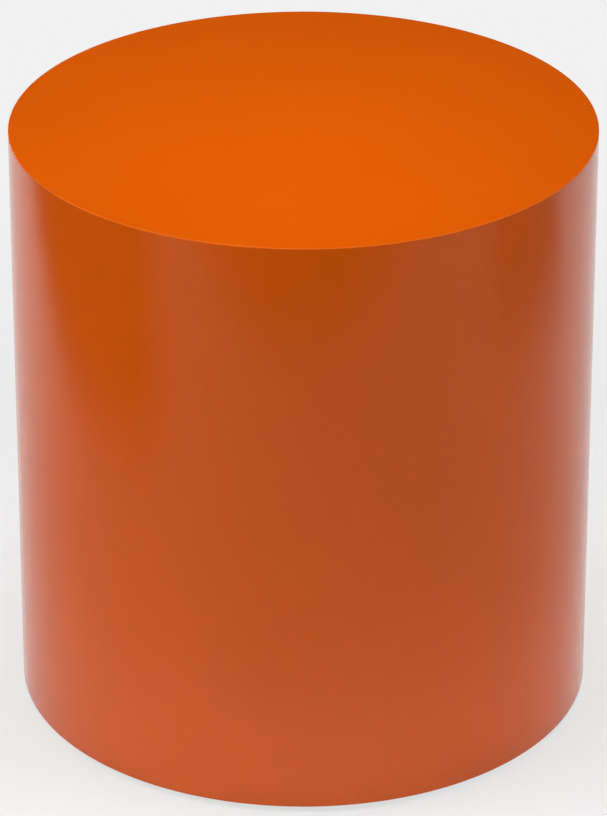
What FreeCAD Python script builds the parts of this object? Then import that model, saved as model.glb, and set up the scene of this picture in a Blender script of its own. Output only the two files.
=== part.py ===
"""Drum side table, in millimetres.

Two layers of bending plywood are wrapped round a skeleton of notched ring formers and battens. A board
closes the top, and a coloured laminate covers the wall and the top. The drum is open underneath and
stands on screw levellers that are let into its lowest former.

Origin: the drum's centre on the floor. +Z is up, and the wall laminate's seam is at the back, at +Y.
"""

import FreeCAD, Part
import math
import os

# Overall size, with the levellers screwed right in
DIAMETER = 432.0
HEIGHT = 457.0
FLOOR_GAP = 5.0  # from the floor to the wall's lower edge

# Sheets and boards
LAMINATE = 0.9  # coloured laminate on the wall and the top
BACKER = 0.8  # plain sheet that balances the top's laminate
TOP_PANEL = 18.0
PLY = 5.0  # each wrapped layer
GLUE_LINE = 0.15  # adhesive between curved layers
LAMINATE_SEAM = 0.25  # gap where the wall laminate's two ends meet
PLY_SEAM = 0.6
ARRIS = 0.6  # radius of the eased edge round the top

# Skeleton
FORMER = 18.0  # thickness of a ring former
FORMER_WIDTH = 60.0  # from a former's rim to its bore
BATTENS = 8
BATTEN_WIDTH = 40.0
BATTEN_DEPTH = 20.0
NOTCH_FIT = 0.2  # clearance between a batten and its notch
SEAM_STEP = 3  # battens from one layer's seam to the next layer's seam

# Wood screws, with a countersunk head and a square drive
SCREW_DIAMETER = 4.0
SCREW_HEAD = 8.0
SCREW_DRIVE = 2.4
SCREW_DRIVE_DEPTH = 2.0
SCREW_POINT = 5.0
SCREW_SINK = 0.5  # from the wood's face down to the head
SCREW_FIT = 0.1  # clearance between a screw and its hole
BATTEN_SCREW = 45.0  # length
PANEL_SCREW = 30.0  # length

# Levellers
LEVELLERS = 4
LEVELLER_TRAVEL = 12.0
THREAD = 8.0  # outside diameter of the stud
STUD_SPARE = 5.0  # stud left above the nut when the leveller is right out
STUD_CHAMFER = 1.0
STUD_FIT = 0.08  # running clearance in the nut, on the radius
COLLAR_FLATS = 13.0  # spanner size of the hexagonal collar
COLLAR = 3.5  # height
STOP_GAP = 0.2  # between the collar and the nut, screwed right in
NECK = 6.0  # diameter
BUTTON = 10.0  # diameter of the stud's end inside the foot
BUTTON_HEIGHT = 2.5
SWIVEL_FIT = 0.15  # clearance between the stud's end and the foot
FOOT = 32.0  # diameter
FOOT_CROWN = 18.0  # diameter of the foot's top face
FOOT_RIM = 2.5  # height of the foot's upright rim
FOOT_HEIGHT = 8.0
FOOT_WEB = 1.5  # nylon between the pad and the stud's end
PAD = 2.5  # felt thickness
PAD_DIAMETER = 27.0
PAD_RECESS = 1.0
PAD_FIT = 0.2

# Pronged nuts in the lowest former
NUT_FLANGE = 24.0  # diameter
NUT_FLANGE_HEIGHT = 1.5
NUT_BARREL = 11.0  # diameter
NUT_BARREL_LENGTH = 13.0
NUT_FIT = 0.1  # clearance between the barrel and its hole
PRONGS = 4
PRONG_WIDTH = 4.0
PRONG_HEIGHT = 7.0
PRONG_THICKNESS = 1.2

# Radii, from the outside in
R_DRUM = DIAMETER / 2
R_OUTER_PLY = R_DRUM - LAMINATE - GLUE_LINE
R_INNER_PLY = R_OUTER_PLY - PLY - GLUE_LINE
R_FRAME = R_INNER_PLY - PLY - GLUE_LINE
R_BORE = R_FRAME - FORMER_WIDTH
R_RING = (R_FRAME + R_BORE) / 2  # the middle of a former's width

# Heights, from the floor up through a leveller to the lowest former
Z_FOOT = PAD - PAD_RECESS
Z_BUTTON = PAD + FOOT_WEB + SWIVEL_FIT
Z_CROWN = Z_FOOT + FOOT_HEIGHT
Z_COLLAR = Z_CROWN + SWIVEL_FIT
Z_NUT = Z_COLLAR + COLLAR + STOP_GAP
Z_FRAME = Z_NUT + NUT_FLANGE_HEIGHT
Z_STUD_TOP = Z_FRAME + NUT_BARREL_LENGTH + LEVELLER_TRAVEL + STUD_SPARE

# Heights, from the top down to the skeleton
Z_PANEL_TOP = HEIGHT - LAMINATE
Z_PANEL = Z_PANEL_TOP - TOP_PANEL
Z_FRAME_TOP = Z_PANEL - BACKER
Z_TOP_FORMER = Z_FRAME_TOP - FORMER
Z_MIDDLE_FORMER = (Z_FRAME + Z_TOP_FORMER) / 2
FORMER_LEVELS = (Z_FRAME, Z_MIDDLE_FORMER, Z_TOP_FORMER)

# Angles about the drum's axis, in degrees: the back is at 90
BACK = 90.0
BATTEN_STEP = 360.0 / BATTENS
BATTEN_ANGLES = [BACK + i * BATTEN_STEP for i in range(BATTENS)]
BAY_ANGLES = [angle + BATTEN_STEP / 2 for angle in BATTEN_ANGLES]
LEVELLER_ANGLES = [BACK + BATTEN_STEP / 2 + i * 360.0 / LEVELLERS for i in range(LEVELLERS)]

ORIGIN = FreeCAD.Vector(0, 0, 0)
UP = FreeCAD.Vector(0, 0, 1)


def turned(shape, angle):
    """The shape, turned about the drum's axis."""
    return shape.rotated(ORIGIN, UP, angle)


def revolved(points):
    """A solid of revolution about Z, from (radius, height) corners of its half section."""
    corners = [FreeCAD.Vector(r, 0, z) for r, z in points]
    section = Part.Face(Part.makePolygon(corners + corners[:1]))
    return section.revolve(ORIGIN, UP, 360)


def disc(radius, z, height):
    return Part.makeCylinder(radius, height, FreeCAD.Vector(0, 0, z))


def wrapped_sheet(radius, thickness, z_low, z_high, seam_angle, seam):
    """A sheet rolled into a tube of that outside radius, whose two ends meet at an upright butt seam."""
    arcs = []
    for r in (radius, radius - thickness):
        half_gap = math.asin(seam / 2 / r)
        start = math.radians(seam_angle) + half_gap
        end = math.radians(seam_angle) + 2 * math.pi - half_gap
        circle = Part.Circle(FreeCAD.Vector(0, 0, z_low), UP, r)
        arcs.append(Part.Arc(circle, start, end))
    outside, inside = arcs
    ends = [
        Part.LineSegment(outside.EndPoint, inside.EndPoint),
        Part.LineSegment(inside.StartPoint, outside.StartPoint),
    ]
    edges = [curve.toShape() for curve in (outside, ends[0], inside, ends[1])]
    return Part.Face(Part.Wire(edges)).extrude(UP * (z_high - z_low))


def screw_form(length, fit=0.0, open_head=0.0):
    """A countersunk screw that points down from a head at height 0. Its hole has the same form, larger
    by the fit and open above the head."""
    shank = SCREW_DIAMETER / 2 + fit
    head = SCREW_HEAD / 2 + fit
    cone = head - shank
    return revolved(
        [
            (0, open_head),
            (head, open_head),
            (head, -fit),
            (shank, -fit - cone),
            (shank, fit - length + SCREW_POINT),
            (0, -fit - length),
        ]
    )


def screw(length):
    drive = Part.makeBox(SCREW_DRIVE, SCREW_DRIVE, SCREW_DRIVE_DEPTH)
    drive.translate(FreeCAD.Vector(-SCREW_DRIVE / 2, -SCREW_DRIVE / 2, -SCREW_DRIVE_DEPTH))
    return screw_form(length).cut(drive)


def screw_hole(length):
    return screw_form(length, SCREW_FIT, 2 * SCREW_SINK)


def at_batten(shape, angle, z):
    """A downward screw or hole, laid to point inwards through a batten at that angle and height."""
    laid = shape.rotated(ORIGIN, FreeCAD.Vector(0, 1, 0), 90)
    return turned(laid.translated(FreeCAD.Vector(R_FRAME - SCREW_SINK, 0, z)), angle)


def at_panel(shape, angle):
    """A downward screw or hole, turned to point up through the top former into the top panel."""
    raised = shape.rotated(ORIGIN, FreeCAD.Vector(1, 0, 0), 180)
    return turned(raised.translated(FreeCAD.Vector(R_RING, 0, Z_TOP_FORMER + SCREW_SINK)), angle)


def at_levellers(shape):
    """A copy of the shape, made on the Z axis, at each leveller."""
    moved = shape.translated(FreeCAD.Vector(R_RING, 0, 0))
    return [turned(moved, angle) for angle in LEVELLER_ANGLES]


def batten_screw_places():
    levels = [z + FORMER / 2 for z in FORMER_LEVELS]
    return [(angle, z) for angle in BATTEN_ANGLES for z in levels]


def top_laminate():
    """The coloured top, with its upper edge eased."""
    sheet = disc(R_DRUM, Z_PANEL_TOP, LAMINATE)
    rim = [edge for edge in sheet.Edges if edge.Closed and edge.BoundBox.ZMin > Z_PANEL_TOP + LAMINATE / 2]
    return sheet.makeFillet(min(ARRIS, LAMINATE * 0.9), rim)


def top_panel():
    board = disc(R_OUTER_PLY, Z_PANEL, TOP_PANEL)
    return board.cut([at_panel(screw_hole(PANEL_SCREW), angle) for angle in BAY_ANGLES])


def top_backer():
    sheet = disc(R_OUTER_PLY, Z_FRAME_TOP, BACKER)
    return sheet.cut([at_panel(screw_hole(PANEL_SCREW), angle) for angle in BAY_ANGLES])


def wall_layers():
    """The three wrapped layers, from the outside in. Each seam lies on a batten, away from the others."""
    seams = [BACK + i * SEAM_STEP * BATTEN_STEP for i in range(3)]
    return {
        "wall_laminate": wrapped_sheet(R_DRUM, LAMINATE, FLOOR_GAP, Z_PANEL_TOP, seams[0], LAMINATE_SEAM),
        "outer_ply": wrapped_sheet(R_OUTER_PLY, PLY, FLOOR_GAP, Z_FRAME_TOP, seams[1], PLY_SEAM),
        "inner_ply": wrapped_sheet(R_INNER_PLY, PLY, FLOOR_GAP, Z_FRAME_TOP, seams[2], PLY_SEAM),
    }


def batten_bar(angle, fit, z_low, z_high):
    """A bar with a batten's section, larger by the fit at its sides and back, and open to the outside."""
    width = BATTEN_WIDTH + 2 * fit
    depth = BATTEN_DEPTH + fit
    corner = FreeCAD.Vector(R_FRAME - depth, -width / 2, z_low)
    return turned(Part.makeBox(2 * depth, width, z_high - z_low, corner), angle)


def batten(angle):
    """A batten whose outer face is planed to the drum's curve and drilled for its screws."""
    bar = batten_bar(angle, 0.0, Z_FRAME, Z_FRAME_TOP)
    planed = bar.common(disc(R_FRAME, Z_FRAME, Z_FRAME_TOP - Z_FRAME))
    holes = [
        at_batten(screw_hole(BATTEN_SCREW), at_angle, z)
        for at_angle, z in batten_screw_places()
        if at_angle == angle
    ]
    return planed.cut(holes)


def former(z):
    """A ring former at that height, notched for the battens and drilled for their screws."""
    ring = disc(R_FRAME, z, FORMER).cut(disc(R_BORE, z, FORMER))
    notches = [batten_bar(angle, NOTCH_FIT, z, z + FORMER) for angle in BATTEN_ANGLES]
    pilots = [at_batten(screw_hole(BATTEN_SCREW), angle, z + FORMER / 2) for angle in BATTEN_ANGLES]
    return ring.cut(notches + pilots)


def top_former():
    holes = [at_panel(screw_hole(PANEL_SCREW), angle) for angle in BAY_ANGLES]
    return former(Z_TOP_FORMER).cut(holes)


def nut_prong():
    """A pointed prong that stands up from the nut's flange, at its rim."""
    r = NUT_FLANGE / 2 - PRONG_THICKNESS
    corners = [
        FreeCAD.Vector(r, -PRONG_WIDTH / 2, Z_FRAME),
        FreeCAD.Vector(r, PRONG_WIDTH / 2, Z_FRAME),
        FreeCAD.Vector(r, 0, Z_FRAME + PRONG_HEIGHT),
    ]
    outline = Part.Face(Part.makePolygon(corners + corners[:1]))
    return outline.extrude(FreeCAD.Vector(-PRONG_THICKNESS, 0, 0))


def nut_prongs():
    return [turned(nut_prong(), i * 360.0 / PRONGS) for i in range(PRONGS)]


def leveller_nut():
    """A pronged nut, driven up into the lowest former until its flange meets the wood."""
    flange = disc(NUT_FLANGE / 2, Z_NUT, NUT_FLANGE_HEIGHT)
    barrel = disc(NUT_BARREL / 2, Z_FRAME, NUT_BARREL_LENGTH)
    bore = disc(THREAD / 2 + STUD_FIT, Z_NUT, NUT_FLANGE_HEIGHT + NUT_BARREL_LENGTH)
    return flange.fuse([barrel] + nut_prongs()).cut(bore).removeSplitter()


def base_former():
    """The lowest former, bored right through for the levellers and marked by the nuts' prongs."""
    bore = disc(NUT_BARREL / 2 + NUT_FIT, Z_FRAME, FORMER)
    cuts = []
    for tool in [bore] + nut_prongs():
        cuts += at_levellers(tool)
    return former(Z_FRAME).cut(cuts)


def leveller_stud():
    """A threaded stud with a hexagonal collar to turn it, and a button end that swivels in the foot."""
    tip = THREAD / 2 - STUD_CHAMFER
    turned_part = revolved(
        [
            (0, Z_BUTTON),
            (BUTTON / 2, Z_BUTTON),
            (BUTTON / 2, Z_BUTTON + BUTTON_HEIGHT),
            (NECK / 2, Z_BUTTON + BUTTON_HEIGHT),
            (NECK / 2, Z_COLLAR),
            (THREAD / 2, Z_COLLAR),
            (THREAD / 2, Z_STUD_TOP - STUD_CHAMFER),
            (tip, Z_STUD_TOP),
            (0, Z_STUD_TOP),
        ]
    )
    across_corners = COLLAR_FLATS / math.cos(math.pi / 6)
    corner_angles = [math.radians(60 * i) for i in range(6)]
    corners = [
        FreeCAD.Vector(across_corners / 2 * math.cos(a), across_corners / 2 * math.sin(a), Z_COLLAR)
        for a in corner_angles
    ]
    collar = Part.Face(Part.makePolygon(corners + corners[:1])).extrude(UP * COLLAR)
    return turned_part.fuse(collar).removeSplitter()


def leveller_foot():
    """A nylon foot with a recess for its felt pad and a socket that holds the stud's button end."""
    r_pad = PAD_DIAMETER / 2 + PAD_FIT
    r_socket = BUTTON / 2 + SWIVEL_FIT
    r_lip = NECK / 2 + SWIVEL_FIT
    z_socket = Z_BUTTON - SWIVEL_FIT
    z_lip = Z_BUTTON + BUTTON_HEIGHT + SWIVEL_FIT
    return revolved(
        [
            (0, PAD),
            (r_pad, PAD),
            (r_pad, Z_FOOT),
            (FOOT / 2, Z_FOOT),
            (FOOT / 2, Z_FOOT + FOOT_RIM),
            (FOOT_CROWN / 2, Z_CROWN),
            (r_lip, Z_CROWN),
            (r_lip, z_lip),
            (r_socket, z_lip),
            (r_socket, z_socket),
            (0, z_socket),
        ]
    )


def leveller_pad():
    return disc(PAD_DIAMETER / 2, 0, PAD)


def build():
    """Every node's shape, by name."""
    nodes = {
        "top_laminate": top_laminate(),
        "top_panel": top_panel(),
        "top_backer": top_backer(),
        "top_former": top_former(),
        "middle_former": former(Z_MIDDLE_FORMER),
        "base_former": base_former(),
    }
    nodes.update(wall_layers())
    for number, angle in enumerate(BATTEN_ANGLES, 1):
        nodes[f"batten_{number}"] = batten(angle)
    nodes["batten_screws"] = Part.makeCompound(
        [at_batten(screw(BATTEN_SCREW), angle, z) for angle, z in batten_screw_places()]
    )
    nodes["panel_screws"] = Part.makeCompound([at_panel(screw(PANEL_SCREW), angle) for angle in BAY_ANGLES])
    nodes["leveller_nuts"] = Part.makeCompound(at_levellers(leveller_nut()))
    for piece, shape in (
        ("stud", leveller_stud()),
        ("foot", leveller_foot()),
        ("pad", leveller_pad()),
    ):
        for number, placed in enumerate(at_levellers(shape), 1):
            nodes[f"leveller_{piece}_{number}"] = placed
    return nodes


def main():
    os.makedirs("parts", exist_ok=True)
    for name, shape in build().items():
        shape.exportStep(f"parts/{name}.step")


main()
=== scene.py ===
"""Drum side table: its surfaces, the studio round it and the camera.

Lengths are in metres, in the part's own frame: the origin is the drum's centre on the floor, +Z is up and the
front, where the camera stands, is towards -Y.
"""

import math

import bmesh
import bpy
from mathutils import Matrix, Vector, noise


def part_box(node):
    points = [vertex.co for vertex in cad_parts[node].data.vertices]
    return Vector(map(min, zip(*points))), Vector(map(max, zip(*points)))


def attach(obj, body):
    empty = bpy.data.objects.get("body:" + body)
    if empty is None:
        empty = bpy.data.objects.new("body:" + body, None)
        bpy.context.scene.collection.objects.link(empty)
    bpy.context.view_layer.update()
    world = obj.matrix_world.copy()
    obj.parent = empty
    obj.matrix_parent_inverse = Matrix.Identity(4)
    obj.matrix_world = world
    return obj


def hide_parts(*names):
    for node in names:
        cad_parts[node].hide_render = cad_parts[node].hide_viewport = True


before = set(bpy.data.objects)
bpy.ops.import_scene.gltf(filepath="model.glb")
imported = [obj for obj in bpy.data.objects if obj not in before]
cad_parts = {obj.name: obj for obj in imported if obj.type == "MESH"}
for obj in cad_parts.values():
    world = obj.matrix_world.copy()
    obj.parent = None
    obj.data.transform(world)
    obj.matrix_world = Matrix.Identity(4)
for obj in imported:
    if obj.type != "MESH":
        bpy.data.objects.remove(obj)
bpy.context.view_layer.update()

# The drum's skin, from the frame
TOP_LOW, TOP_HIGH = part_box("top_laminate")
WALL_LOW, WALL_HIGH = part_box("wall_laminate")
RADIUS = TOP_HIGH.x
HEIGHT = TOP_HIGH.z
SHEET = TOP_HIGH.z - TOP_LOW.z  # thickness of the laminate
ARRIS = 0.0006  # eased edge round the top
LOWER_EASE = 0.0003  # eased edge at the wall's foot
JOINT_EASE = 0.00005  # where the top's edge meets the wall
SEAM_GAP = 0.00025  # the wall laminate's butt seam
SEAM_ANGLE = math.radians(90)  # at the back
HOLD = 0.0004  # a narrow strip that keeps a flat face's shading flat up to its eased edge
DRUM_SEGMENTS = 512
WALL_ROWS = 10
TOP_RINGS = (0.85, 0.65, 0.45, 0.25, 0.08)  # of the radius
ROUND_STEPS = 6
SMOOTH_ANGLE = math.radians(35)  # edges that turn by more stay sharp

# Levellers: heights are from the floor, screwed right in
LEVELLERS = 4
SMALL_SEGMENTS = 36
THREAD = 0.004  # outside radius
THREAD_PITCH = 0.00125
THREAD_DEPTH = 0.00068
THREAD_STEPS = 6  # rings in one turn of thread
THREAD_FLANK = 2.2  # steepness of the thread's flanks
THREAD_CREST = 1.6  # how far above its depth a ridge would peak, so that its crest is cut flat
TIP = 0.001  # chamfer at the stud's upper end
COLLAR_FLATS = 0.013
COLLAR_LOW = 0.00965
COLLAR_HIGH = 0.01315
COLLAR_SLOPE = math.radians(30)  # of the chamfers on the collar's corners
COLLAR_STEPS = 4
NECK = 0.003  # radius
BUTTON = 0.005  # radius of the stud's end inside the foot
BUTTON_HIGH = 0.00665
BUTTON_EASE = 0.0003
FOOT_RIM_HIGH = 0.004
FOOT_RIM_EASE = 0.0008
FOOT_CROWN = 0.009  # radius of the foot's top face
FOOT_CROWN_EASE = 0.001
FOOT_EDGE_EASE = 0.0003
FOOT_LIP = 0.00315  # radius of the hole in the foot's top face
FOOT_LIP_LOW = 0.0068
FOOT_SOCKET = 0.00515  # radius
FOOT_SOCKET_LOW = 0.004
PAD_HOLE = 0.0137  # radius of the recess for the pad
PAD_EASE = 0.0006
PAD_FUZZ = 0.00012  # unevenness of the felt's cut edge
PAD_FUZZ_SIZE = 0.0011
PAD_FACE_INSET = 3 * PAD_EASE
PAD_RINGS = (0.45, 0.65, 0.85)  # of the pad's thickness

# Colours, linear
ORANGE = (0.735, 0.108, 0.0005)
# Painted highlight: a lighter orange on the eased rim, standing in for light caught on its edge
ORANGE_RIM_HIGHLIGHT = (0.8, 0.17, 0.02)
PLY_LIGHT = (0.56, 0.38, 0.21)
PLY_DARK = (0.36, 0.21, 0.1)
PINE_LIGHT = (0.62, 0.45, 0.26)
PINE_DARK = (0.44, 0.27, 0.12)
BOARD_LIGHT = (0.36, 0.24, 0.14)
BOARD_DARK = (0.27, 0.17, 0.09)
BACKER_LIGHT = (0.2, 0.12, 0.07)
BACKER_DARK = (0.15, 0.085, 0.045)
ZINC_LIGHT = (0.68, 0.68, 0.67)
ZINC_DARK = (0.5, 0.5, 0.51)
NYLON_LIGHT = (0.028, 0.028, 0.03)
NYLON_DARK = (0.018, 0.018, 0.02)
FELT_LIGHT = (0.13, 0.12, 0.11)
FELT_DARK = (0.055, 0.05, 0.047)
PALE = (0.879, 0.879, 0.879)
DIM = (0.004, 0.004, 0.004)

# Patterns in the materials: noise scales are per metre, and relief is in metres
NOISE_LOW, NOISE_HIGH = 0.3, 0.7  # the usual range of a noise value
MIX_COLOURS = (6, 7)  # the mix node's colour sockets, which share their names with others
MIX_RESULT = 2
ORANGE_DEEP = tuple(0.965 * c for c in ORANGE)
ORANGE_FULL = tuple(1.02 * c for c in ORANGE)
LAMINATE_CLOUD = 7.0  # noise scale
LAMINATE_CLOUD_SHARE = 0.6
LAMINATE_FLECK = 420.0  # noise scale
LAMINATE_FLECK_SHARE = 0.4
LAMINATE_GLOSS = 28.0  # noise scale of the uneven gloss
LAMINATE_ROUGH = (0.14, 0.18)
LAMINATE_GRAIN = 900.0  # noise scale of the relief
LAMINATE_RELIEF = 0.000012
LAMINATE_IOR = 1.42
RIM_WIDE = 1.3 * ARRIS  # the rougher filed rim, whose lighter colour is a painted highlight, starts this far inside the edge
RIM_NARROW = 0.5 * ARRIS  # and is full from here
RIM_HIGHLIGHT_SHARE = 0.5
RIM_ROUGH = 0.5
GRAIN_DETAIL = 6.0
GRAIN_DISTORTION = 0.6
GRAIN_SHARE = 0.75
GRAIN_RELIEF = 0.00015
PORE_SCALE = 6.0
PORE_SHARE = 0.25
WOOD_ROUGH = (0.5, 0.65)
GLUE_SHADE = 0.62  # of a wood's dark colour, on a ply's edge
VENEER_SHADE = 0.9  # of its light colour
BOARD_LAYER = 0.0014  # thickness of a layer
SHEET_LAYER = 0.0012
LAYER_SOFT = 0.4  # how soft the change from one layer to the next is
FINE_SCALE = 9  # of the finer noise to the coarse noise of a plain material

# Camera
CAMERA_PLACE = Vector((0.0, -3.24, 1.873))
CAMERA_PITCH = math.radians(26.98)  # below the horizon
CAMERA_LENS = 212.9
CAMERA_SENSOR = 36.0  # along the picture's longer side

# Studio
FLOOR_SIZE = 80.0
FLOOR_ALBEDO = 0.95
SHADOW_SHARE = 0.24  # of the floor's look beside the drum that comes from the light on it
SHADOW_NEAR = 0.3  # from the drum's axis
SHADOW_FAR = 1.0
BACKDROP_LOW = math.sin(math.radians(7))  # where the pale backdrop starts to fade upwards
BACKDROP_HIGH = math.sin(math.radians(14))
# Dark cards on the floor, for reflections. Each: its origin, its turn about Z in degrees, the low and high
# ends of its two sides, the widths of the soft edges at those ends, and how dark it is.
CARDS = {
    "card_left": ((-0.667, -0.4), 20.4, ((-1.6, 0.14), (-0.36, 1.6)), ((0.2, 0.2), (0.4, 0.2)), 1.0),
    "card_right": ((0.92, -0.243), 0.0, ((-0.2, 1.5), (-0.3, 0.7)), ((0.34, 0.2), (0.35, 0.25)), 0.8),
    "card_front": ((0.0, -0.98), 0.0, ((-2.4, 2.4), (-1.4, 0.1)), ((0.2, 0.2), (0.2, 0.2)), 1.0),
    "card_shade": ((0.0, -0.3), 0.0, ((-2.4, 2.4), (-0.9, 0.65)), ((0.2, 0.2), (0.2, 0.5)), 0.33),
}
CARD_CLEAR_NEAR = 0.22  # the cards thin out round the drum, between these distances from its axis
CARD_CLEAR_FAR = 0.5
CARD_LIFT = 0.001  # between one card and the next
CARD_COLOUR = (0.01, 0.01, 0.01)
AIM = Vector((0.0, 0.0, 0.3))
LOW_AIM = Vector((0.0, 0.0, 0.16))
FLOOR_AIM = Vector((0.05, -0.34, 0.0))
# Each lamp: azimuth from the front towards +X, elevation, distance from its aim, width, height, spread, watts
# and, where it isn't AIM, its aim
LAMPS = {
    "lamp_over": (0, 88, 2.5, 0.8, 0.5, 60, 4.45),
    "lamp_accent": (0, 50, 2.5, 0.6, 0.5, 20, 0.6),
    "lamp_left": (-90, 12, 1.5, 0.5, 0.9, 180, 3.1),
    "lamp_left_high": (-75, 25, 1.5, 0.5, 0.5, 180, 3.65),
    "lamp_right": (105, 0, 1.5, 0.6, 0.3, 180, 4.8, LOW_AIM),
    "lamp_floor": (0, 89, 0.42, 0.8, 0.15, 55, 0.3, FLOOR_AIM),
}


def as_object(name, shape):
    """A scene object from a bmesh, smooth except at its sharp edges."""
    bmesh.ops.recalc_face_normals(shape, faces=shape.faces)
    mesh = bpy.data.meshes.new(name)
    shape.to_mesh(mesh)
    shape.free()
    mesh.shade_smooth()
    mesh.set_sharp_from_angle(angle=SMOOTH_ANGLE)
    made = bpy.data.objects.new(name, mesh)
    bpy.context.scene.collection.objects.link(made)
    return made


def turned_solid(name, rings, segments, centre=(0.0, 0.0), turn=0.0):
    """A closed solid about an upright axis, skinned over rings from its lower face to its upper face.

    A ring is a height and a radius. The radius may be a function of the angle, which starts at that turn."""
    shape = bmesh.new()
    loops = []
    for height, radius in rings:
        loop = []
        for i in range(segments):
            angle = 2 * math.pi * i / segments
            r = radius(angle) if callable(radius) else radius
            x = centre[0] + r * math.cos(angle + turn)
            y = centre[1] + r * math.sin(angle + turn)
            loop.append(shape.verts.new((x, y, height)))
        loops.append(loop)
    for low, high in zip(loops, loops[1:]):
        for i in range(segments):
            j = (i + 1) % segments
            shape.faces.new((low[i], low[j], high[j], high[i]))
    shape.faces.new(loops[0])
    shape.faces.new(loops[-1])
    return as_object(name, shape)


def rolled_sheet(name, outline, gap, seam_angle, segments):
    """A sheet rolled about Z, from its closed (radius, height) outline, with a butt seam of that gap."""
    shape = bmesh.new()
    half_gap = gap / 2 / RADIUS
    loops = []
    for i in range(segments + 1):
        angle = seam_angle + half_gap + (2 * math.pi - 2 * half_gap) * i / segments
        points = [(r * math.cos(angle), r * math.sin(angle), z) for r, z in outline]
        loops.append([shape.verts.new(point) for point in points])
    for here, there in zip(loops, loops[1:]):
        for k in range(len(outline)):
            n = (k + 1) % len(outline)
            shape.faces.new((here[k], there[k], there[n], here[n]))
    shape.faces.new(loops[0])
    shape.faces.new(loops[-1])
    return as_object(name, shape)


def rounded_corner(radius, height, ease, start, end):
    """Heights and radii round a corner that is eased by an arc.

    start and end are the ways that the faces beside the corner look, in degrees from outwards towards up."""
    ways = [math.radians(a) for a in (start, end)]
    inset = ease / (1 + math.cos(ways[1] - ways[0]))
    centre_radius = radius - inset * sum(math.cos(a) for a in ways)
    centre_height = height - inset * sum(math.sin(a) for a in ways)
    steps = [ways[0] + (ways[1] - ways[0]) * i / ROUND_STEPS for i in range(ROUND_STEPS + 1)]
    return [(centre_height + ease * math.sin(a), centre_radius + ease * math.cos(a)) for a in steps]


def drum_top():
    """The top sheet, with its eased upper edge."""
    rings = [(TOP_LOW.z, RADIUS - JOINT_EASE), (TOP_LOW.z + JOINT_EASE, RADIUS)]
    rings += rounded_corner(RADIUS, HEIGHT, ARRIS, 0, 90)
    rings += [(HEIGHT, RADIUS - ARRIS - HOLD)]
    rings += [(HEIGHT, RADIUS * share) for share in TOP_RINGS]
    return turned_solid("drum_top", rings, DRUM_SEGMENTS)


def drum_wall():
    """The wall sheet, with an eased foot and its seam at the back."""
    low, high = WALL_LOW.z, WALL_HIGH.z
    outline = [(r, z) for z, r in rounded_corner(RADIUS, low, LOWER_EASE, -90, 0)]
    first = low + LOWER_EASE + HOLD
    last = high - JOINT_EASE - HOLD
    outline += [(RADIUS, first + (last - first) * i / WALL_ROWS) for i in range(WALL_ROWS + 1)]
    outline += [(RADIUS, high - JOINT_EASE), (RADIUS - JOINT_EASE, high)]
    outline += [(RADIUS - SHEET, high), (RADIUS - SHEET, low)]
    return rolled_sheet("drum_wall", outline, SEAM_GAP, SEAM_ANGLE, DRUM_SEGMENTS)


def leveller_centre(number):
    low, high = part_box(f"leveller_pad_{number}")
    return (low.x + high.x) / 2, (low.y + high.y) / 2


def thread_radius(height):
    """The radius of the stud's right-hand thread at one height, as a function of the angle."""
    def radius(angle):
        turn = (height / THREAD_PITCH - angle / (2 * math.pi)) % 1.0
        ridge = min(1.0, max(0.0, THREAD_CREST - THREAD_FLANK * abs(2 * turn - 1)))
        return THREAD - THREAD_DEPTH * (1 - ridge)
    return radius


def collar_radius(from_end):
    """The radius of the hexagonal collar at that depth below its end face, as a function of the angle."""
    chamfer = COLLAR_FLATS / 2 + from_end / math.tan(COLLAR_SLOPE)

    def radius(angle):
        from_flat = angle % (math.pi / 3) - math.pi / 6
        return min(COLLAR_FLATS / 2 / math.cos(from_flat), chamfer)
    return radius


def threaded_stud(number):
    """A stud with a button end, a neck, a hexagonal collar and a thread above it."""
    low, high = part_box(f"leveller_stud_{number}")
    centre = leveller_centre(number)
    corner = COLLAR_FLATS / 2 * (1 / math.cos(math.pi / 6) - 1) * math.tan(COLLAR_SLOPE)
    depths = [corner * i / COLLAR_STEPS for i in range(COLLAR_STEPS + 1)]
    turns = (high.z - TIP - COLLAR_HIGH) / THREAD_PITCH
    count = round(turns * THREAD_STEPS)
    levels = [COLLAR_HIGH + (high.z - TIP - COLLAR_HIGH) * i / count for i in range(count + 1)]

    rings = rounded_corner(BUTTON, low.z, BUTTON_EASE, -90, 0)
    rings += rounded_corner(BUTTON, BUTTON_HIGH, BUTTON_EASE, 0, 90)
    rings += [(BUTTON_HIGH, NECK), (COLLAR_LOW, NECK)]
    rings += [(COLLAR_LOW + depth, collar_radius(depth)) for depth in depths]
    rings += [(COLLAR_HIGH - depth, collar_radius(depth)) for depth in reversed(depths)]
    rings += [(level, thread_radius(level)) for level in levels]
    rings += [(high.z, THREAD - TIP)]
    return turned_solid(f"stud_{number}", rings, SMALL_SEGMENTS, centre, math.atan2(centre[1], centre[0]))


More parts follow.
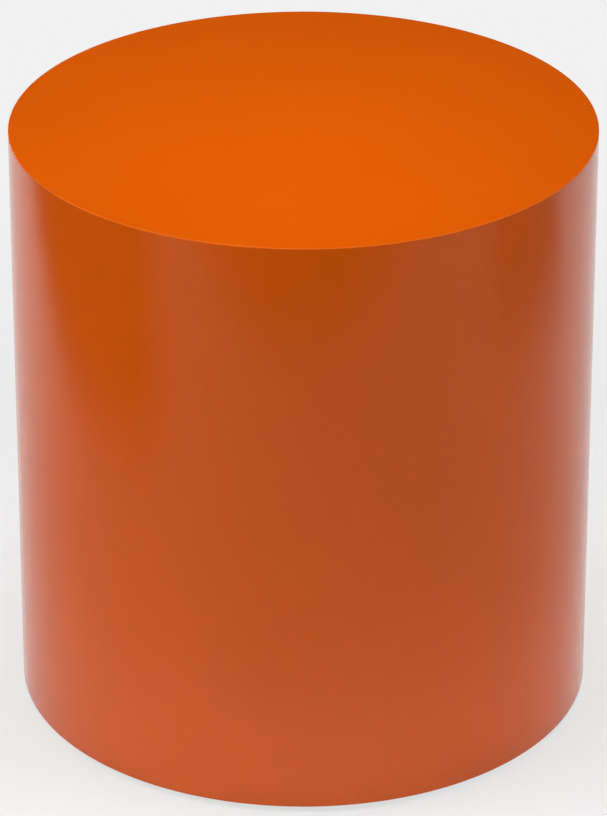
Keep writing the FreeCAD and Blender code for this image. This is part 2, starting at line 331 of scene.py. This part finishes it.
def nylon_foot(number):
    """A domed foot with a recess for its pad below and a socket for the stud above."""
    low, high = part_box(f"leveller_foot_{number}")
    pad_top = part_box(f"leveller_pad_{number}")[1].z
    foot = (high.x - low.x) / 2
    slope = math.degrees(math.atan2(foot - FOOT_CROWN, high.z - FOOT_RIM_HIGH))
    rings = [(pad_top, PAD_HOLE)]
    rings += rounded_corner(PAD_HOLE, low.z, FOOT_EDGE_EASE, 180, 270)
    rings += rounded_corner(foot, low.z, FOOT_EDGE_EASE, -90, 0)
    rings += rounded_corner(foot, FOOT_RIM_HIGH, FOOT_RIM_EASE, 0, slope)
    rings += rounded_corner(FOOT_CROWN, high.z, FOOT_CROWN_EASE, slope, 90)
    rings += rounded_corner(FOOT_LIP, high.z, FOOT_EDGE_EASE, 90, 180)
    rings += [(FOOT_LIP_LOW, FOOT_LIP), (FOOT_LIP_LOW, FOOT_SOCKET), (FOOT_SOCKET_LOW, FOOT_SOCKET)]
    return turned_solid(f"foot_{number}", rings, 2 * SMALL_SEGMENTS, leveller_centre(number))


def felt_pad(number):
    """A punched felt disc, whose lower edge has rounded under the load and whose cut edge is uneven."""
    low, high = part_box(f"leveller_pad_{number}")

    def uneven(radius, height):
        def at(angle):
            place = Vector((radius * math.cos(angle), radius * math.sin(angle), height + number))
            return radius - PAD_FUZZ * (0.5 + 0.5 * noise.noise(place / PAD_FUZZ_SIZE))
        return at

    radius = (high.x - low.x) / 2
    rings = [(low.z, radius - PAD_FACE_INSET)]
    rings += [(z, uneven(r, z)) for z, r in rounded_corner(radius, low.z, PAD_EASE, -90, 0)[1:]]
    for share in PAD_RINGS:
        rings.append((low.z + (high.z - low.z) * share, uneven(radius, high.z * share)))
    rings += [(high.z, radius - PAD_FUZZ), (high.z, radius - PAD_FACE_INSET)]
    return turned_solid(f"pad_{number}", rings, 2 * SMALL_SEGMENTS, leveller_centre(number))


def node(tree, kind, inputs=None, **settings):
    """A new shader node. An input is a value, or another node's output to link."""
    made = tree.nodes.new(kind)
    for name, value in settings.items():
        setattr(made, name, value)
    for name, value in (inputs or {}).items():
        if isinstance(value, bpy.types.NodeSocket):
            tree.links.new(value, made.inputs[name])
        else:
            made.inputs[name].default_value = value
    return made


def math_node(tree, operation, *values, clamp=False):
    inputs = dict(enumerate(values))
    return node(tree, "ShaderNodeMath", inputs, operation=operation, use_clamp=clamp).outputs[0]


def new_material(name):
    """A material, its node tree and its surface shader."""
    material = bpy.data.materials.new(name)
    material.use_nodes = True
    tree = material.node_tree
    return material, tree, tree.nodes["Principled BSDF"]


def rgba(colour):
    return (*colour, 1.0)


def places(tree, stretch=(1.0, 1.0, 1.0)):
    """The point's place in the part's frame, stretched along each axis."""
    coordinates = node(tree, "ShaderNodeTexCoord").outputs["Object"]
    return node(tree, "ShaderNodeMapping", {"Vector": coordinates, "Scale": stretch}).outputs["Vector"]


def from_axis(tree, vector):
    """A place's distance from the drum's axis."""
    axes = node(tree, "ShaderNodeSeparateXYZ", {"Vector": vector}).outputs
    squares = [math_node(tree, "MULTIPLY", axis, axis) for axis in axes[:2]]
    return math_node(tree, "SQRT", math_node(tree, "ADD", *squares))


def noise_at(tree, vector, scale, detail=2.0, distortion=0.0):
    inputs = {"Vector": vector, "Scale": scale, "Detail": detail, "Distortion": distortion}
    return node(tree, "ShaderNodeTexNoise", inputs).outputs["Fac"]


def spread(tree, value, low, high):
    """A noise value's usual range, spread over that range."""
    inputs = {"Value": value, "From Min": NOISE_LOW, "From Max": NOISE_HIGH, "To Min": low, "To Max": high}
    return node(tree, "ShaderNodeMapRange", inputs).outputs["Result"]


def mixed(tree, share, first, second):
    """A colour between two colours, which may be outputs."""
    inputs = {0: share}
    for index, colour in zip(MIX_COLOURS, (first, second)):
        inputs[index] = colour if isinstance(colour, bpy.types.NodeSocket) else rgba(colour)
    return node(tree, "ShaderNodeMix", inputs, data_type="RGBA").outputs[MIX_RESULT]


def bumped(tree, shader, height, depth):
    """Relief of that depth on the shader's surface."""
    inputs = {"Height": height, "Distance": depth, "Strength": 1.0}
    tree.links.new(node(tree, "ShaderNodeBump", inputs).outputs["Normal"], shader.inputs["Normal"])


def satin_laminate():
    """Orange laminate: a fine even texture, a little cloudiness and a rougher trimmed rim, whose lighter
    colour is a painted highlight.
    """
    material, tree, shader = new_material("satin_laminate")
    here = places(tree)
    up = node(tree, "ShaderNodeSeparateXYZ", {"Vector": here}).outputs["Z"]
    near_edge = node(tree, "ShaderNodeMapRange", {
        "Value": from_axis(tree, here), "From Min": RADIUS - RIM_WIDE, "From Max": RADIUS - RIM_NARROW,
    }).outputs["Result"]
    near_top = node(tree, "ShaderNodeMapRange", {
        "Value": up, "From Min": HEIGHT - RIM_WIDE, "From Max": HEIGHT - RIM_NARROW,
    }).outputs["Result"]
    filed_rim_and_highlight = math_node(tree, "MULTIPLY", near_edge, near_top)
    cloud = spread(tree, noise_at(tree, here, LAMINATE_CLOUD, detail=3.0), 0.0, LAMINATE_CLOUD_SHARE)
    fleck = spread(tree, noise_at(tree, here, LAMINATE_FLECK), 0.0, LAMINATE_FLECK_SHARE)
    field = mixed(tree, math_node(tree, "ADD", cloud, fleck), ORANGE_DEEP, ORANGE_FULL)
    # The rim's lighter colour is a painted highlight along the eased edge. Its roughness below is the real
    # filed edge.
    colour = mixed(tree, math_node(tree, "MULTIPLY", filed_rim_and_highlight, RIM_HIGHLIGHT_SHARE), field, ORANGE_RIM_HIGHLIGHT)
    tree.links.new(colour, shader.inputs["Base Color"])
    rough = spread(tree, noise_at(tree, here, LAMINATE_GLOSS, detail=4.0), *LAMINATE_ROUGH)
    filed = node(tree, "ShaderNodeMix", {"Factor": filed_rim_and_highlight, "A": rough, "B": RIM_ROUGH}).outputs["Result"]
    tree.links.new(filed, shader.inputs["Roughness"])
    shader.inputs["IOR"].default_value = LAMINATE_IOR
    bumped(tree, shader, noise_at(tree, here, LAMINATE_GRAIN, detail=3.0), LAMINATE_RELIEF)
    return material


def wood(name, light, dark, stretch, layers=None):
    """Wood with its grain along the axis that is stretched least, and a ply's layers on its edges.

    layers is a function of the node tree that gives the share of edge at a point and its layer, 0 to 1."""
    material, tree, shader = new_material(name)
    along = places(tree, stretch)
    grain = noise_at(tree, along, 1.0, detail=GRAIN_DETAIL, distortion=GRAIN_DISTORTION)
    pores = noise_at(tree, along, PORE_SCALE, detail=3.0)
    figure = spread(tree, grain, 0.0, GRAIN_SHARE)
    share = math_node(tree, "ADD", figure, spread(tree, pores, 0.0, PORE_SHARE))
    colour = mixed(tree, share, dark, light)
    if layers:
        edge, band = layers(tree)
        glue = tuple(GLUE_SHADE * c for c in dark)
        veneer = tuple(VENEER_SHADE * c for c in light)
        stripe = mixed(tree, band, glue, veneer)
        colour = mixed(tree, edge, colour, stripe)
    tree.links.new(colour, shader.inputs["Base Color"])
    tree.links.new(spread(tree, pores, WOOD_ROUGH[1], WOOD_ROUGH[0]), shader.inputs["Roughness"])
    bumped(tree, shader, grain, GRAIN_RELIEF)
    return material


def layer_band(tree, coordinate, thickness):
    """Alternate layers of that thickness across a coordinate, as a smooth 0 to 1 wave."""
    wave = math_node(tree, "SINE", math_node(tree, "MULTIPLY", coordinate, math.pi / thickness))
    inputs = {"Value": wave, "From Min": -LAYER_SOFT, "From Max": LAYER_SOFT}
    return node(tree, "ShaderNodeMapRange", inputs).outputs["Result"]


def level_share(tree):
    """1 on a level face and 0 on an upright one."""
    normal = node(tree, "ShaderNodeTexCoord").outputs["Normal"]
    return math_node(tree, "ABSOLUTE", node(tree, "ShaderNodeSeparateXYZ", {"Vector": normal}).outputs[2])


def board_layers(tree):
    """Layers stacked along Z, which show on the upright edges of a board."""
    axes = node(tree, "ShaderNodeSeparateXYZ", {"Vector": places(tree)}).outputs
    edge = math_node(tree, "SUBTRACT", 1.0, level_share(tree), clamp=True)
    return edge, layer_band(tree, axes[2], BOARD_LAYER)


def sheet_layers(tree):
    """Layers stacked outwards, which show on the level edges of a rolled sheet."""
    return level_share(tree), layer_band(tree, from_axis(tree, places(tree)), SHEET_LAYER)


def mottled(name, light, dark, scale, rough, relief, metallic=0.0):
    """A plain material with cloudy colour, and a finer uneven gloss and relief."""
    material, tree, shader = new_material(name)
    here = places(tree)
    coarse = noise_at(tree, here, scale, detail=4.0)
    fine = noise_at(tree, here, FINE_SCALE * scale, detail=2.0)
    tree.links.new(mixed(tree, spread(tree, coarse, 0.0, 1.0), dark, light), shader.inputs["Base Color"])
    tree.links.new(spread(tree, fine, *rough), shader.inputs["Roughness"])
    shader.inputs["Metallic"].default_value = metallic
    bumped(tree, shader, fine, relief)
    return material


def floor_material():
    """A pale matt floor. The eye and reflections see its even paleness, with the drum's shadow beside it."""
    material, tree, shader = new_material("studio_floor")
    shader.inputs["Base Color"].default_value = rgba((FLOOR_ALBEDO,) * 3)
    shader.inputs["Roughness"].default_value = 1.0
    shader.inputs["Specular IOR Level"].default_value = 0.0
    lit_share = node(tree, "ShaderNodeMapRange", {
        "Value": from_axis(tree, places(tree)),
        "From Min": SHADOW_NEAR, "From Max": SHADOW_FAR, "To Min": SHADOW_SHARE, "To Max": 0.0,
    }, interpolation_type="SMOOTHSTEP").outputs["Result"]
    pale = node(tree, "ShaderNodeEmission", {"Color": rgba(PALE)}).outputs["Emission"]
    lit = shader.outputs["BSDF"]
    seen = node(tree, "ShaderNodeMixShader", {0: lit_share, 1: pale, 2: lit}).outputs["Shader"]
    path = node(tree, "ShaderNodeLightPath").outputs
    looked_at = math_node(tree, "MAXIMUM", path["Is Camera Ray"], path["Is Glossy Ray"])
    looked_at = math_node(tree, "MAXIMUM", looked_at, path["Is Transmission Ray"])
    surface = node(tree, "ShaderNodeMixShader", {0: looked_at, 1: lit, 2: seen}).outputs["Shader"]
    tree.links.new(surface, tree.nodes["Material Output"].inputs["Surface"])
    return material


def add_floor():
    shape = bmesh.new()
    bmesh.ops.create_grid(shape, x_segments=1, y_segments=1, size=FLOOR_SIZE / 2)
    floor = as_object("floor", shape)
    floor.data.materials.append(floor_material())


def card_material(name, sides, soft, cover):
    """A dark sheet seen only in reflections, where it paints darker reflections on the drum. It thins out
    towards the edges of the card and round the drum.
    """
    material, tree, shader = new_material(name)
    shader.inputs["Base Color"].default_value = rgba(CARD_COLOUR)
    shader.inputs["Roughness"].default_value = 1.0
    shader.inputs["Specular IOR Level"].default_value = 0.0
    axes = node(tree, "ShaderNodeSeparateXYZ", {"Vector": places(tree)}).outputs
    for axis in range(2):
        low, high = sides[axis]
        for end, inwards in ((low, soft[axis][0]), (high, -soft[axis][1])):
            rise = node(tree, "ShaderNodeMapRange", {
                "Value": axes[axis], "From Min": end, "From Max": end + inwards,
            }, interpolation_type="SMOOTHSTEP").outputs["Result"]
            cover = math_node(tree, "MULTIPLY", rise, cover)
    here = node(tree, "ShaderNodeNewGeometry").outputs["Position"]
    clear = node(tree, "ShaderNodeMapRange", {
        "Value": from_axis(tree, here), "From Min": CARD_CLEAR_NEAR, "From Max": CARD_CLEAR_FAR,
    }, interpolation_type="SMOOTHSTEP").outputs["Result"]
    cover = math_node(tree, "MULTIPLY", clear, cover)
    tree.links.new(cover, shader.inputs["Alpha"])
    return material


def add_card(name, lift, origin, turn, sides, soft, cover):
    """A dark card on the floor that the camera doesn't see. It shows only in reflections."""
    (x_low, x_high), (y_low, y_high) = sides
    corners = [(x_low, y_low), (x_high, y_low), (x_high, y_high), (x_low, y_high)]
    shape = bmesh.new()
    shape.faces.new([shape.verts.new((x, y, 0.0)) for x, y in corners])
    card = as_object(name, shape)
    card.location = (*origin, lift)
    card.rotation_euler.z = math.radians(turn)
    card.data.materials.append(card_material(name, sides, soft, cover))
    card.visible_camera = False
    card.visible_diffuse = False
    card.visible_shadow = False


def add_backdrop():
    """A pale backdrop all round that ends a little above eye level, under a dim ceiling."""
    world = bpy.data.worlds.new("studio")
    world.use_nodes = True
    tree = world.node_tree
    direction = node(tree, "ShaderNodeTexCoord").outputs["Generated"]
    rise = node(tree, "ShaderNodeSeparateXYZ", {"Vector": direction}).outputs[2]
    share = node(tree, "ShaderNodeMapRange", {
        "Value": rise, "From Min": BACKDROP_LOW, "From Max": BACKDROP_HIGH,
    }, interpolation_type="SMOOTHSTEP").outputs["Result"]
    tree.links.new(mixed(tree, share, PALE, DIM), tree.nodes["Background"].inputs["Color"])
    bpy.context.scene.world = world


def add_lamp(name, azimuth, elevation, distance, width, height, spread_angle, watts, aim=AIM):
    """A soft box that faces its aim. Bounced rays pass it by, so that no view has its glare."""
    lamp = bpy.data.lights.new(name, "AREA")
    lamp.shape = "RECTANGLE"
    lamp.size = width
    lamp.size_y = height
    lamp.spread = math.radians(spread_angle)
    lamp.energy = watts
    lamp.cycles.use_multiple_importance_sampling = False
    a, e = math.radians(azimuth), math.radians(elevation)
    towards = Vector((math.sin(a) * math.cos(e), -math.cos(a) * math.cos(e), math.sin(e)))
    made = bpy.data.objects.new(name, lamp)
    made.location = aim + distance * towards
    made.rotation_euler = (-towards).to_track_quat("-Z", "Y").to_euler()
    made.visible_camera = False
    made.visible_glossy = False
    bpy.context.scene.collection.objects.link(made)


def add_camera():
    camera = bpy.data.cameras.new("camera")
    camera.lens = CAMERA_LENS
    camera.sensor_width = CAMERA_SENSOR
    made = bpy.data.objects.new("camera", camera)
    made.location = CAMERA_PLACE
    made.rotation_euler = (math.pi / 2 - CAMERA_PITCH, 0.0, 0.0)
    bpy.context.scene.collection.objects.link(made)
    bpy.context.scene.camera = made


def dress(node_name, material):
    """A CAD node keeps its shape and gets a material."""
    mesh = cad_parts[node_name].data
    mesh.materials.clear()
    mesh.materials.append(material)


def add_piece(piece, material, body, slot, *nodes):
    """A finished piece: its material, the body it rides on, its record slot, which is not used, and the nodes
    it stands for.
    """
    piece.data.materials.append(material)
    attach(piece, body)
    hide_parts(*nodes)


def main():
    laminate = satin_laminate()
    add_piece(drum_top(), laminate, "drum", "orange_laminate", "top_laminate")
    add_piece(drum_wall(), laminate, "drum", "orange_laminate", "wall_laminate")

    ply_sheet = wood("bending_ply", PLY_LIGHT, PLY_DARK, stretch=(60.0, 60.0, 5.0), layers=sheet_layers)
    ply_board = wood("plywood", PLY_LIGHT, PLY_DARK, stretch=(9.0, 110.0, 110.0), layers=board_layers)
    pine = wood("pine", PINE_LIGHT, PINE_DARK, stretch=(150.0, 150.0, 7.0))
    zinc = mottled("zinc_steel", ZINC_LIGHT, ZINC_DARK, scale=220.0, rough=(0.28, 0.42), relief=0.00002,
                   metallic=1.0)
    nylon = mottled("nylon", NYLON_LIGHT, NYLON_DARK, scale=300.0, rough=(0.38, 0.5), relief=0.00002)
    felt = mottled("felt", FELT_LIGHT, FELT_DARK, scale=900.0, rough=(0.9, 1.0), relief=0.0003)
    board = mottled("fibreboard", BOARD_LIGHT, BOARD_DARK, scale=500.0, rough=(0.75, 0.9), relief=0.00005)
    backer = mottled("backer", BACKER_LIGHT, BACKER_DARK, scale=60.0, rough=(0.5, 0.65), relief=0.00003)
    for name in ("outer_ply", "inner_ply"):
        dress(name, ply_sheet)
    for name in ("top_former", "middle_former", "base_former"):
        dress(name, ply_board)
    for name in [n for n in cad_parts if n.startswith("batten_") and n != "batten_screws"]:
        dress(name, pine)
    for name in ("batten_screws", "panel_screws", "leveller_nuts"):
        dress(name, zinc)
    for number in range(1, LEVELLERS + 1):
        add_piece(threaded_stud(number), zinc, f"stud_{number}", "zinc_steel", f"leveller_stud_{number}")
        add_piece(nylon_foot(number), nylon, f"foot_{number}", "nylon", f"leveller_foot_{number}")
        pad = felt_pad(number)
        add_piece(pad, felt, f"foot_{number}", "felt", f"leveller_pad_{number}")
    dress("top_panel", board)
    dress("top_backer", backer)

    add_floor()
    for number, (name, card) in enumerate(CARDS.items(), 1):
        add_card(name, number * CARD_LIFT, *card)
    add_backdrop()
    for name, lamp in LAMPS.items():
        add_lamp(name, *lamp)
    add_camera()
    bpy.context.scene.view_settings.view_transform = "Standard"


main()
